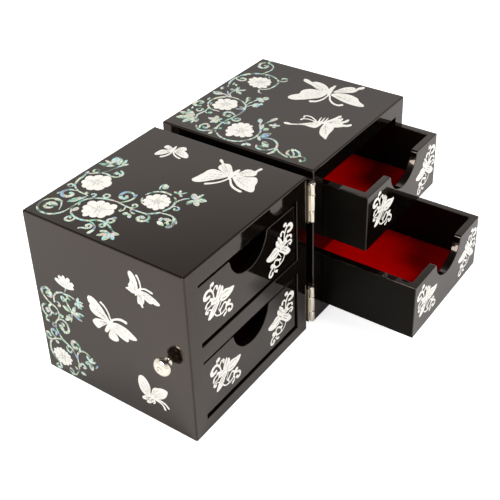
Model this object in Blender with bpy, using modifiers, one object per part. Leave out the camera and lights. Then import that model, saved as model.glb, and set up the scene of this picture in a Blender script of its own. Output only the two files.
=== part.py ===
"""Double lidded jewelry box: two lacquered cases, hinged front to front, with two drawers each.

Metres, +Z up. The cases stand open, side by side, with their fronts towards -Y and the hinge
axis in the plane x = 0. The origin is on the ground, under the middle of the whole object.
"""

import math

import bmesh
import bpy
from mathutils import Matrix, Vector

# Case halves
HALF_WIDTH = 0.139
HALF_DEPTH = 0.140
HALF_HEIGHT = 0.140
SIDE_THICK = 0.013
TOP_THICK = 0.014
SHELF_THICK = 0.0130
BASE_THICK = 0.0112
BACK_THICK = 0.008
ARRIS_RADIUS = 0.0010
JOINT_GAP = 0.0003

# Drawers
SIDE_CLEARANCE = 0.0005
RUN_GAP = 0.0003
STOP_GAP = 0.0003
DRAWER_HEADROOM = 0.0036
DRAWER_RECESS = 0.0015
FRONT_THICK = 0.006
WALL_THICK = 0.006
DRAWER_ARRIS = 0.0006
BOTTOM_THICK = 0.0032
BOTTOM_LIFT = 0.0050
GROOVE_DEPTH = 0.0025
LINING_THICK = 0.0010
LINING_CLEARANCE = 0.0004
SCOOP_RADIUS = 0.0213
SCOOP_CENTRE_RISE = 0.0018
UPPER_FRONT_AHEAD = 0.0373
LOWER_FRONT_AHEAD = 0.0794

# Hinges
AXIS_TO_SIDE = 0.0045
AXIS_PROUD = 0.0016
HINGE_LENGTH = 0.032
HINGE_END_INSET = 0.0075
MIDDLE_KNUCKLE = 0.013
KNUCKLE_GAP = 0.0008
KNUCKLE_RADIUS = 0.0024
PIN_RADIUS = 0.0011
PIN_CLEARANCE = 0.0002
PIN_STANDS_OUT = 0.0004
PIN_HEAD_RADIUS = 0.0018
PIN_HEAD_THICK = 0.0006
LEAF_THICK = 0.0011
LEAF_DEPTH = 0.0145
LEAF_BEHIND_AXIS = 0.0002
WEB_THICK = 0.0011
WEB_STEP = 0.0001
WEB_BITE = 0.0006

# Hinge screws
SCREW_SPREAD = 0.018
SCREW_FROM_AXIS = 0.0085
SCREW_LENGTH = 0.0085
SCREW_HEAD_RADIUS = 0.0021
SCREW_HEAD_DEPTH = 0.0009
SCREW_SHANK_RADIUS = 0.0011
SCREW_TIP_RADIUS = 0.0004
SCREW_TIP_LENGTH = 0.0014
SCREW_SINK = 0.0001
SCREW_CLEARANCE = 0.0002
SLOT_WIDTH = 0.0005
SLOT_DEPTH = 0.0004

# Pulls on the outer sides
KNOB_FROM_FRONT = 0.0184
KNOB_HEIGHT = 0.065
KNOB_LENGTH = 0.0100
KNOB_RADIUS = 0.0071
KNOB_WIDEST_AT = 0.00635
KNOB_BACK_AT = 0.0036
KNOB_NECK_RADIUS = 0.0022
KNOB_FLANGE_RADIUS = 0.0031
KNOB_FLANGE_THICK = 0.0009
KNOB_DIMPLE_RADIUS = 0.0021
KNOB_DIMPLE_DEPTH = 0.0016
KNOB_BORE_DEPTH = 0.0050
STUD_RADIUS = 0.0013
STUD_CLEARANCE = 0.0002
STUD_IN_SIDE = 0.0090

# Fineness of round shapes, and the overrun that carries a cutter past what it cuts
BARREL_STEPS = 28
KNOB_STEPS = 36
SCREW_STEPS = 20
SCOOP_STEPS = 72
ARC_STEPS = 6
ARRIS_STEPS = 2
OVERRUN = 0.0020
MERGE = 0.000001
SHARP_ANGLE = math.radians(35)

# Sizes worked out from the ones above
OPENING_WIDTH = HALF_WIDTH - 2 * SIDE_THICK
OPENING_HEIGHT = (HALF_HEIGHT - TOP_THICK - SHELF_THICK - BASE_THICK) / 2
DRAWER_WIDTH = OPENING_WIDTH - 2 * SIDE_CLEARANCE
DRAWER_HEIGHT = OPENING_HEIGHT - RUN_GAP - DRAWER_HEADROOM
DRAWER_LENGTH = HALF_DEPTH - BACK_THICK - DRAWER_RECESS - STOP_GAP
FRONT_Y = (LOWER_FRONT_AHEAD - HALF_DEPTH) / 2
BACK_Y = FRONT_Y + HALF_DEPTH
AXIS_Y = FRONT_Y - AXIS_PROUD
LEVEL_FLOORS = {
    "upper": BASE_THICK + OPENING_HEIGHT + SHELF_THICK,
    "lower": BASE_THICK,
}
FRONTS_AHEAD = {
    ("right", "upper"): UPPER_FRONT_AHEAD,
    ("right", "lower"): LOWER_FRONT_AHEAD,
    ("left", "upper"): -DRAWER_RECESS,
    ("left", "lower"): -DRAWER_RECESS,
}
HINGE_BOTTOMS = {
    "upper": HALF_HEIGHT - HINGE_END_INSET - HINGE_LENGTH,
    "lower": HINGE_END_INSET,
}
SIDES = {"right": 1, "left": -1}
FACE_NORMALS = {
    "-x": Vector((-1, 0, 0)),
    "+x": Vector((1, 0, 0)),
    "-y": Vector((0, -1, 0)),
    "+y": Vector((0, 1, 0)),
    "-z": Vector((0, 0, -1)),
    "+z": Vector((0, 0, 1)),
}

# Finishes: colour, roughness and metallic value
LACQUER = ((0.012, 0.011, 0.011, 1.0), 0.12, 0.0)
FELT = ((0.30, 0.004, 0.008, 1.0), 0.95, 0.0)
NICKEL = ((0.75, 0.73, 0.69, 1.0), 0.15, 1.0)
STEEL = ((0.55, 0.54, 0.52, 1.0), 0.30, 1.0)

parts = bpy.data.collections.new("double_lidded_jewelry_box")
cutters = bpy.data.collections.new("cutters")


def clear_scene():
    """Remove what an empty file holds, and add the two collections."""
    for item in list(bpy.data.objects):
        bpy.data.objects.remove(item, do_unlink=True)
    bpy.context.scene.collection.children.link(parts)
    bpy.context.scene.collection.children.link(cutters)


def finish(name, look):
    """A Principled material from a colour, a roughness and a metallic value."""
    colour, roughness, metallic = look
    material = bpy.data.materials.new(name)
    material.use_nodes = True
    shader = material.node_tree.nodes["Principled BSDF"]
    shader.inputs["Base Color"].default_value = colour
    shader.inputs["Roughness"].default_value = roughness
    shader.inputs["Metallic"].default_value = metallic
    material.diffuse_color = colour
    return material


def add_frame(name, place, parent=None):
    """An empty that carries the pieces of one moving body."""
    frame = bpy.data.objects.new(name, None)
    frame.empty_display_size = KNOB_LENGTH
    parts.objects.link(frame)
    seat(frame, place, parent)
    return frame


def world_place(frame):
    """Where an empty stands; the empties are not turned, so their steps add up."""
    return frame.location + world_place(frame.parent) if frame else Vector()


def seat(item, place, parent):
    """Parent an object to an empty and put its origin at a world place."""
    item.parent = parent
    item.location = Vector(place) - world_place(parent)


def add_piece(name, mesh, place, look, parent):
    """One named sub-part with its own material."""
    piece = bpy.data.objects.new(name, mesh)
    parts.objects.link(piece)
    mesh.materials.append(finish(name, look))
    seat(piece, place, parent)
    return piece


def add_cutter(name, mesh, place, turn=None):
    """A hidden helper solid for a Boolean."""
    cutter = bpy.data.objects.new(name, mesh)
    cutters.objects.link(cutter)
    cutter.location = place
    if turn:
        cutter.rotation_euler = turn.to_euler()
    cutter.hide_render = True
    cutter.display_type = "WIRE"
    return cutter


def combine(target, helper, operation="DIFFERENCE"):
    """Cut a helper out of a piece, or join it on."""
    boolean = target.modifiers.new(helper.name, "BOOLEAN")
    boolean.operation = operation
    boolean.solver = "EXACT"
    boolean.object = helper


def box_mesh(name, size, rounded=(), radius=ARRIS_RADIUS):
    """A box whose edges between two faces named in rounded, such as '-y', are rounded."""
    cage = bmesh.new()
    bmesh.ops.create_cube(cage, size=1)
    bmesh.ops.scale(cage, vec=Vector(size), verts=cage.verts)
    cage.normal_update()
    normals = [FACE_NORMALS[name] for name in rounded]
    outer = {side for side in cage.faces if any(side.normal.dot(n) > math.cos(SHARP_ANGLE) for n in normals)}
    edges = [edge for edge in cage.edges if outer.issuperset(edge.link_faces)]
    if edges:
        bmesh.ops.bevel(
            cage,
            geom=edges,
            offset=radius,
            offset_type="OFFSET",
            segments=ARRIS_STEPS,
            profile=0.5,
            affect="EDGES",
        )
    mesh = bpy.data.meshes.new(name)
    cage.to_mesh(mesh)
    cage.free()
    return mesh


def add_box(name, low, high, look, parent, rounded=(), radius=ARRIS_RADIUS):
    """A box between two world corners, with its origin at its middle."""
    low, high = Vector(low), Vector(high)
    mesh = box_mesh(name, high - low, rounded, radius)
    return add_piece(name, mesh, (low + high) / 2, look, parent)


def rod_mesh(name, radius, length, steps):
    """A plain cylinder round Z, centred on its origin."""
    cage = bmesh.new()
    bmesh.ops.create_cone(
        cage,
        cap_ends=True,
        segments=steps,
        radius1=radius,
        radius2=radius,
        depth=length,
    )
    mesh = bpy.data.meshes.new(name)
    cage.to_mesh(mesh)
    mesh.shade_smooth()
    mesh.set_sharp_from_angle(angle=SHARP_ANGLE)
    cage.free()
    return mesh


def turned_mesh(name, profile, steps):
    """A solid turned round Z from (radius, height) points, read down the outer side."""
    outline = bpy.data.meshes.new(name + "_outline")
    places = [(radius, 0, height) for radius, height in profile]
    outline.from_pydata(places, [(i, i + 1) for i in range(len(places) - 1)], [])
    blank = bpy.data.objects.new(name + "_blank", outline)
    cutters.objects.link(blank)
    screw = blank.modifiers.new("turn", "SCREW")
    screw.steps = steps
    screw.render_steps = steps
    screw.use_merge_vertices = True
    screw.merge_threshold = MERGE
    graph = bpy.context.evaluated_depsgraph_get()
    mesh = bpy.data.meshes.new_from_object(blank.evaluated_get(graph))
    mesh.name = name
    bpy.data.objects.remove(blank)
    mesh.shade_smooth()
    mesh.set_sharp_from_angle(angle=SHARP_ANGLE)
    return mesh


def arc(start, end, centre):
    """Points of a quarter ellipse, round a centre that shares a coordinate with each end."""
    reach_start = Vector(start) - Vector(centre)
    reach_end = Vector(end) - Vector(centre)
    angles = [math.pi / 2 * step / ARC_STEPS for step in range(ARC_STEPS + 1)]
    return [tuple(Vector(centre) + reach_start * math.cos(a) + reach_end * math.sin(a)) for a in angles]


def span(side, near, far):
    """The low and high x of a stretch that runs outwards from the hinge plane."""
    return tuple(sorted((SIDES[side] * near, SIDES[side] * far)))


def face(side, outward):
    """The name of the x face that points away from the hinge plane, or towards it."""
    return ("+x", "-x")[(SIDES[side] > 0) != outward]


def add_case(side, body):
    """The six boards of one case half, apart from what is screwed to them."""
    inner = AXIS_TO_SIDE
    outer = AXIS_TO_SIDE + HALF_WIDTH
    opening_low = inner + SIDE_THICK
    opening_high = outer - SIDE_THICK
    boards = {}
    for name, near, far, outward in (
        ("hinge_side", inner, opening_low, False),
        ("outer_side", opening_high, outer, True),
    ):
        left, right = span(side, near, far)
        boards[name] = add_box(
            f"{side}_{name}",
            (left, FRONT_Y, 0),
            (right, BACK_Y, HALF_HEIGHT),
            LACQUER,
            body,
            rounded=(face(side, outward), "-y", "+y", "-z", "+z"),
        )
    left, right = span(side, opening_low + JOINT_GAP, opening_high - JOINT_GAP)
    shelf_low = BASE_THICK + OPENING_HEIGHT
    back_front = BACK_Y - BACK_THICK
    top_low = HALF_HEIGHT - TOP_THICK
    for name, low_y, high_y, low_z, high_z, rounded in (
        ("top_panel", FRONT_Y, BACK_Y, top_low, HALF_HEIGHT, ("-y", "+z", "+y")),
        ("base_panel", FRONT_Y, BACK_Y, 0, BASE_THICK, ("-y", "-z", "+y")),
        ("shelf", FRONT_Y, back_front - JOINT_GAP, shelf_low, shelf_low + SHELF_THICK, ()),
        ("back_panel", back_front, BACK_Y, BASE_THICK + JOINT_GAP, top_low - JOINT_GAP, ()),
    ):
        add_box(
            f"{side}_{name}",
            (left, low_y, low_z),
            (right, high_y, high_z),
            LACQUER,
            body,
            rounded=rounded,
        )
    return boards


def add_drawer(side, level, case):
    """One drawer: four walls, grooved for the bottom board, and a felt lining."""
    name = f"{side}_{level}_drawer"
    front_y = FRONT_Y - FRONTS_AHEAD[side, level]
    back_y = front_y + DRAWER_LENGTH
    floor_z = LEVEL_FLOORS[level] + RUN_GAP
    top_z = floor_z + DRAWER_HEIGHT
    middle_x = SIDES[side] * (AXIS_TO_SIDE + HALF_WIDTH / 2)
    low_x = middle_x - DRAWER_WIDTH / 2
    high_x = middle_x + DRAWER_WIDTH / 2
    body = add_frame(name, (middle_x, front_y, floor_z), case)

    front_back = front_y + FRONT_THICK
    inside_low = low_x + WALL_THICK
    inside_high = high_x - WALL_THICK
    rear_front = back_y - WALL_THICK
    walls = []
    for part, low, high, rounded in (
        (
            "front",
            (low_x, front_y, floor_z),
            (high_x, front_back, top_z),
            ("-y", "-x", "+x", "-z", "+z"),
        ),
        (
            "left_side",
            (low_x, front_back + JOINT_GAP, floor_z),
            (inside_low, back_y, top_z),
            (),
        ),
        (
            "right_side",
            (inside_high, front_back + JOINT_GAP, floor_z),
            (high_x, back_y, top_z),
            (),
        ),
        (
            "back",
            (inside_low + JOINT_GAP, rear_front, floor_z),
            (inside_high - JOINT_GAP, back_y, top_z),
            (),
        ),
    ):
        walls.append(add_box(f"{name}_{part}", low, high, LACQUER, body, rounded, DRAWER_ARRIS))

    # Groove round the inside of the walls, which holds the bottom board
    bottom_z = floor_z + BOTTOM_LIFT
    bottom_top = bottom_z + BOTTOM_THICK
    groove_low = Vector((inside_low - GROOVE_DEPTH, front_back - GROOVE_DEPTH, bottom_z - JOINT_GAP))
    groove_high = Vector((inside_high + GROOVE_DEPTH, rear_front + GROOVE_DEPTH, bottom_top + JOINT_GAP))
    groove = add_cutter(
        f"{name}_groove",
        box_mesh(f"{name}_groove", groove_high - groove_low),
        (groove_low + groove_high) / 2,
    )
    for wall in walls:
        combine(wall, groove)
    fit = Vector((JOINT_GAP, JOINT_GAP, JOINT_GAP))
    add_box(f"{name}_bottom", groove_low + fit, groove_high - fit, LACQUER, body)

    # Felt that lies on the bottom board, inside the walls
    lining_z = bottom_top + JOINT_GAP
    add_box(
        f"{name}_lining",
        (inside_low + LINING_CLEARANCE, front_back + LINING_CLEARANCE, lining_z),
        (inside_high - LINING_CLEARANCE, rear_front - LINING_CLEARANCE, lining_z + LINING_THICK),
        FELT,
        body,
    )

    # Round finger scoop through the top of the front
    scoop = add_cutter(
        f"{name}_scoop",
        rod_mesh(f"{name}_scoop", SCOOP_RADIUS, FRONT_THICK + 2 * OVERRUN, SCOOP_STEPS),
        (middle_x, front_y + FRONT_THICK / 2, top_z + SCOOP_CENTRE_RISE),
        Matrix.Rotation(math.pi / 2, 3, "X"),
    )
    combine(walls[0], scoop)


def outwards(side):
    """The turn that points a turned piece's +Z away from the hinge plane."""
    return Matrix.Rotation(SIDES[side] * math.pi / 2, 3, "Y")


def inwards(side):
    """The turn that points a turned piece's +Z towards the hinge plane."""
    return Matrix.Rotation(-SIDES[side] * math.pi / 2, 3, "Y")


def add_knob(side, body, board):
    """A turned pull, and the stud that holds it to the outer side."""
    seat_x = AXIS_TO_SIDE + HALF_WIDTH
    y = FRONT_Y + KNOB_FROM_FRONT
    bore_radius = STUD_RADIUS + STUD_CLEARANCE
    rim = (KNOB_DIMPLE_RADIUS, KNOB_LENGTH)
    widest = (KNOB_RADIUS, KNOB_WIDEST_AT)
    neck = (KNOB_NECK_RADIUS, KNOB_BACK_AT)
    profile = [(0, KNOB_LENGTH - KNOB_DIMPLE_DEPTH)]
    profile += arc(profile[0], rim, (0, KNOB_LENGTH))[1:]
    profile += arc(rim, widest, (KNOB_DIMPLE_RADIUS, KNOB_WIDEST_AT))[1:]
    profile += arc(widest, neck, (KNOB_NECK_RADIUS, KNOB_WIDEST_AT))[1:]
    profile += [
        (KNOB_NECK_RADIUS, KNOB_FLANGE_THICK),
        (KNOB_FLANGE_RADIUS, KNOB_FLANGE_THICK),
        (KNOB_FLANGE_RADIUS, 0),
        (bore_radius, 0),
        (bore_radius, KNOB_BORE_DEPTH),
        (0, KNOB_BORE_DEPTH),
    ]
    knob_place = (SIDES[side] * (seat_x + JOINT_GAP), y, KNOB_HEIGHT)
    knob = add_piece(
        f"{side}_knob",
        turned_mesh(f"{side}_knob", profile, KNOB_STEPS),
        knob_place,
        NICKEL,
        body,
    )
    knob.rotation_euler = outwards(side).to_euler()

    low = seat_x - STUD_IN_SIDE
    high = seat_x + KNOB_BORE_DEPTH
    stud = add_piece(
        f"{side}_knob_stud",
        rod_mesh(f"{side}_knob_stud", STUD_RADIUS, high - low, SCREW_STEPS),
        (SIDES[side] * (low + high) / 2, y, KNOB_HEIGHT),
        STEEL,
        body,
    )
    stud.rotation_euler = outwards(side).to_euler()
    hole_low = low - JOINT_GAP
    hole_high = seat_x + OVERRUN
    hole = add_cutter(
        f"{side}_knob_hole",
        rod_mesh(f"{side}_knob_hole", bore_radius, hole_high - hole_low, SCREW_STEPS),
        (SIDES[side] * (hole_low + hole_high) / 2, y, KNOB_HEIGHT),
        outwards(side),
    )
    combine(board, hole)


def screw_profile(clearance):
    """A countersunk screw's outline, or with a clearance the outline of its hole."""
    head = SCREW_HEAD_RADIUS + clearance
    shank = SCREW_SHANK_RADIUS + clearance
    under_head = -SCREW_HEAD_DEPTH - (head - shank) + (SCREW_HEAD_RADIUS - SCREW_SHANK_RADIUS)
    if clearance:
        above = SCREW_SINK + OVERRUN
        end = -SCREW_LENGTH - JOINT_GAP
        return [(0, above), (head, above), (head, 0), (shank, under_head), (shank, end), (0, end)]
    shank_end = -SCREW_LENGTH + SCREW_TIP_LENGTH
    return [
        (0, 0),
        (head, 0),
        (shank, under_head),
        (shank, shank_end),
        (SCREW_TIP_RADIUS, -SCREW_LENGTH),
        (0, -SCREW_LENGTH),
    ]


def add_screws(side, level, body, leaf, board):
    """The two countersunk screws of one leaf, with their holes in the leaf and the board."""
    middle_z = HINGE_BOTTOMS[level] + HINGE_LENGTH / 2
    head_x = AXIS_TO_SIDE - JOINT_GAP - LEAF_THICK + SCREW_SINK
    for end, offset in (("top", SCREW_SPREAD / 2), ("bottom", -SCREW_SPREAD / 2)):
        name = f"{level}_hinge_{side}_{end}_screw"
        place = (SIDES[side] * head_x, AXIS_Y + SCREW_FROM_AXIS, middle_z + offset)
        screw = add_piece(name, turned_mesh(name, screw_profile(0), SCREW_STEPS), place, STEEL, body)
        screw.rotation_euler = inwards(side).to_euler()
        slot_size = (2 * SLOT_DEPTH, SLOT_WIDTH, 2 * (SCREW_HEAD_RADIUS + OVERRUN))
        combine(screw, add_cutter(f"{name}_slot", box_mesh(f"{name}_slot", slot_size), place))
        hole = turned_mesh(f"{name}_hole", screw_profile(SCREW_CLEARANCE), SCREW_STEPS)
        hole_cutter = add_cutter(f"{name}_hole", hole, place, inwards(side))
        combine(leaf, hole_cutter)
        combine(board, hole_cutter)


def knuckle_spans(level):
    """The z stretches of the middle knuckle and of the two end knuckles."""
    bottom = HINGE_BOTTOMS[level]
    top = bottom + HINGE_LENGTH
    middle_low = bottom + (HINGE_LENGTH - MIDDLE_KNUCKLE) / 2
    middle_high = middle_low + MIDDLE_KNUCKLE
    ends = [(bottom, middle_low - KNUCKLE_GAP), (middle_high + KNUCKLE_GAP, top)]
    return {"left": [(middle_low, middle_high)], "right": ends}


def add_leaf(side, level, body):
    """A hinge leaf: its plate on the case side, a web, and its knuckles round the pin."""
    name = f"{level}_hinge_{side}_leaf"
    plate_far = AXIS_TO_SIDE - JOINT_GAP
    plate_near = plate_far - LEAF_THICK
    left, right = span(side, plate_near, plate_far)
    bottom = HINGE_BOTTOMS[level]
    plate_y = AXIS_Y + LEAF_BEHIND_AXIS
    leaf = add_box(
        name,
        (left, plate_y, bottom),
        (right, AXIS_Y + LEAF_DEPTH, bottom + HINGE_LENGTH),
        NICKEL,
        body,
    )
    web_near = KNUCKLE_RADIUS - WEB_BITE
    web_far = plate_near + LEAF_THICK / 2
    web_y = plate_y + WEB_STEP
    bore_radius = PIN_RADIUS + PIN_CLEARANCE
    for number, (low_z, high_z) in enumerate(knuckle_spans(level)[side], 1):
        length = high_z - low_z
        middle_z = (low_z + high_z) / 2
        # The web stops short of the knuckle's ends, so that no two faces lie in one plane
        web = add_cutter(
            f"{name}_web_{number}",
            box_mesh(f"{name}_web_{number}", (web_far - web_near, WEB_THICK, length - 2 * WEB_STEP)),
            (SIDES[side] * (web_near + web_far) / 2, web_y + WEB_THICK / 2, middle_z),
        )
        combine(leaf, web, "UNION")
        knuckle = add_cutter(
            f"{name}_knuckle_{number}",
            rod_mesh(f"{name}_knuckle_{number}", KNUCKLE_RADIUS, length, BARREL_STEPS),
            (0, AXIS_Y, middle_z),
        )
        combine(leaf, knuckle, "UNION")
    bore = add_cutter(
        f"{name}_bore",
        rod_mesh(f"{name}_bore", bore_radius, HINGE_LENGTH + 2 * OVERRUN, BARREL_STEPS),
        (0, AXIS_Y, bottom + HINGE_LENGTH / 2),
    )
    combine(leaf, bore)
    return leaf


def add_pin(level, body):
    """A headed pin, which stands a little out of the barrel's lower end."""
    name = f"{level}_hinge_pin"
    barrel_bottom = HINGE_BOTTOMS[level]
    head_low = HINGE_LENGTH + JOINT_GAP
    head_high = head_low + PIN_HEAD_THICK
    profile = [
        (0, head_high),
        (PIN_HEAD_RADIUS, head_high),
        (PIN_HEAD_RADIUS, head_low),
        (PIN_RADIUS, head_low),
        (PIN_RADIUS, -PIN_STANDS_OUT),
        (0, -PIN_STANDS_OUT),
    ]
    place = (0, AXIS_Y, barrel_bottom)
    add_piece(name, turned_mesh(name, profile, BARREL_STEPS), place, STEEL, body)


def build():
    """The whole object, from the fixed case out to the drawers."""
    clear_scene()
    whole = add_frame("double_lidded_jewelry_box", (0, 0, 0))
    axis_place = (0, AXIS_Y, 0)
    right_case = add_frame("right_case", (0, 0, 0), whole)
    hinge_pins = add_frame("hinge_pins", axis_place, right_case)
    left_case = add_frame("left_case", axis_place, hinge_pins)
    for side, case in (("right", right_case), ("left", left_case)):
        boards = add_case(side, case)
        add_knob(side, case, boards["outer_side"])
        for level in ("upper", "lower"):
            leaf = add_leaf(side, level, case)
            add_screws(side, level, case, leaf, boards["hinge_side"])
            add_drawer(side, level, case)
    for level in ("upper", "lower"):
        add_pin(level, hinge_pins)


build()
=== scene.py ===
"""Dresses the double lidded jewelry box: black lacquer, red felt, nickel and mother-of-pearl inlay."""

import math

import bmesh
import bpy
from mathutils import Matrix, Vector


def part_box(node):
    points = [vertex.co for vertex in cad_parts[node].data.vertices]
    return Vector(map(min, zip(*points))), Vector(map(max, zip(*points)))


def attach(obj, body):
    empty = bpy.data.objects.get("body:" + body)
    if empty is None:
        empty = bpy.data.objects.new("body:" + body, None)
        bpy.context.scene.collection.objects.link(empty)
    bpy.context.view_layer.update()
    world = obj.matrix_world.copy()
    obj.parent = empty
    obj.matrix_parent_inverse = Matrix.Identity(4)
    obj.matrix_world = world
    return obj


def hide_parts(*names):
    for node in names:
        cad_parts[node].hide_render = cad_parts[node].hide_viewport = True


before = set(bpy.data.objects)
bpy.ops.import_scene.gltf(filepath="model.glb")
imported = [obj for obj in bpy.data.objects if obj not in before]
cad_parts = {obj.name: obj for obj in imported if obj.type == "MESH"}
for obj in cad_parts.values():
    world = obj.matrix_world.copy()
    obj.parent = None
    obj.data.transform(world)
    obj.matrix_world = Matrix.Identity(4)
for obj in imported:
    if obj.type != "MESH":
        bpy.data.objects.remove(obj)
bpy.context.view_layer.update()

SIDES = ("right", "left")
LEVELS = ("upper", "lower")
CASE_BOARDS = ("outer_side", "hinge_side", "base_panel", "shelf", "top_panel", "back_panel")
DRAWER_BOARDS = ("front", "left_side", "right_side", "back", "bottom")
STEEL_ENDINGS = ("screw", "stud", "pin")

# Lacquered skins
INLAY_ROOM = 0.00012
CASE_ARRIS = 0.0013
RIM_RADIUS = 0.0006
ROUNDING_STEPS = 3
SCOOP_RADIUS = 0.0213
SCOOP_CENTRE_RISE = 0.0018
SCOOP_SHOULDER = 0.0020
SCOOP_STEPS = 48
SHOULDER_STEPS = 8
BEYOND = 0.002
SHARP_ANGLE = math.radians(38)
WELD = 1e-6

# Felt: its cells across and along, its turned down edge, and the low waves over its face
FELT_CELLS = (56, 62)
FELT_ROOM = 0.00011
FELT_EDGE = 0.0016
FELT_DROP = 0.00035
FELT_WAVE = 0.00005
FELT_WAVES = (71, 63, 157, 92)
FELT_STARTS = (1.3, 0.4)
FELT_SHARP_ANGLE = math.radians(60)

# Inlay: thin shell set in the lacquer, drawn from tables in thousandths of a face's two sides
WHOLE_SHARE = 1000
INLAY_FOOT = -0.0003
COLOURED_HEIGHT = 0.00002
WHITE_HEIGHT = 0.00007
CUT_HEIGHT = 0.00009
HEIGHT_STEP = 0.4e-6
CUT_STEP = 0.1e-6
STRIP_CLIMB = 1.0e-8
THINNEST = 0.00015
STEM_STEPS = 5
WING_STEPS = 4
LEAF_STEPS = 3
COIL_DEGREES = 18
COIL_LEAST_STEPS = 8
DROP_SIDES = 20
DOT_SIDES = 8
CAP_ANGLES = [math.radians(k) for k in (30, 58, 82)]
LEAF_OUTLINE_SHARES = ((0.15, 0.45), (0.35, 0.85), (0.55, 1.0), (0.75, 0.85), (0.9, 0.5))
SPRAY_SIDE = 0.040

# Flowers: the notches between petals, and the cuts and stamens as shares of a petal's reach
PETAL_STEPS = 10
PETAL_FULLNESS = 0.6
NOTCH_SHARE = 0.86
PETAL_CUT_SHARES = (0.55, 0.75, 0.95)
STAMENS = 11
STAMEN_TURN = 9
STAMEN_FOOT_SHARE = 0.09
STAMEN_TIP_SHARE = 0.30
STAMEN_LONGER_SHARE = 0.07

# Engraved lines: a full line's width on its face, and each kind's widths as shares of it
CUT_SHARE = 2.4
PETAL_CUT_WIDTH_SHARES = (0.3, 0.6, 0.6)
STAMEN_WIDTH_SHARES = (0.6, 0.9)
DOT_SHARE = 0.8
VEIN_WIDTH_SHARES = (0.8, 0.4)

# Veins: where they point along a wing's outline, and their strokes and bow as shares of their length
VEIN_SHARES = (0.28, 0.39, 0.50, 0.61, 0.72)
STROKE_SHARES = ((0.20, 0.36), (0.42, 0.54), (0.60, 0.68))
STROKE_SHIFT_SHARE = 0.06
VEIN_BOW_SHARE = 0.25

# Shell: the stops of its colours, and the abalone's patches, which shift them, and its cracks
COLOURED_SHELL_RAMP = (
    (0.30, (0.10, 0.12, 0.09)), (0.345, (0.22, 0.58, 0.42)), (0.39, (0.84, 0.72, 0.52)),
    (0.43, (0.26, 0.66, 0.68)), (0.47, (0.86, 0.85, 0.74)), (0.505, (0.40, 0.60, 0.34)),
    (0.54, (0.86, 0.56, 0.56)), (0.575, (0.40, 0.72, 0.74)), (0.61, (0.82, 0.76, 0.54)),
    (0.65, (0.26, 0.60, 0.42)), (0.69, (0.20, 0.17, 0.12)), (0.75, (0.32, 0.50, 0.68)))
WHITE_SHELL_RAMP = (
    (0.30, (0.84, 0.85, 0.78)), (0.44, (0.90, 0.87, 0.80)), (0.54, (0.92, 0.89, 0.82)),
    (0.64, (0.90, 0.85, 0.79)), (0.76, (0.85, 0.86, 0.83)))
PATCH_SCALE = 260.0
PATCH_SHIFT = (-0.17, 0.17)
CRACK_WIDTH = (0.02, 0.07)
CRACK_SHADE = (0.60, 1.0)

# Camera, fitted to the photograph
CAMERA_PLACE = (-0.48321, -0.33273, 0.48965)
CAMERA_TURN = (58.505, 1.251, -55.618)
CAMERA_SENSOR = 36.0
CAMERA_LENS = 67.971
CAMERA_SHIFT = (-0.03334, -0.15286)

# Light: a lamp is its name, place, width and power, and whether gloss mirrors it
LAMPS = (
    ("front_lamp", (0.30, -1.00, 0.70), 0.60, 13.4, False),
    ("left_lamp", (-1.00, 0.13, 0.60), 0.60, 8.4, True),
    ("back_lamp", (0.00, 0.90, 0.80), 0.70, 7.4, False),
)
LAMPS_AIM = (0.0, 0.0, 0.07)
WORLD_LIGHT = 0.08
WHITE = (1.0, 1.0, 1.0, 1.0)
# The world as gloss sees it: its light at each share of the way from the horizon up
DOME_SHARES = (
    (0.0, 1.0), (0.35, 0.80), (0.42, 0.66), (0.47, 0.80), (0.515, 0.82), (0.60, 0.45), (0.72, 0.12),
    (1.0, 0.03))
FLOOR_REACH = 4.0
FLOOR_COLOUR = (0.86, 0.86, 0.86, 1.0)
FLOOR_GLOW_SEEN = 0.80
FLOOR_GLOW_REFLECTED = 0.10

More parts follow.
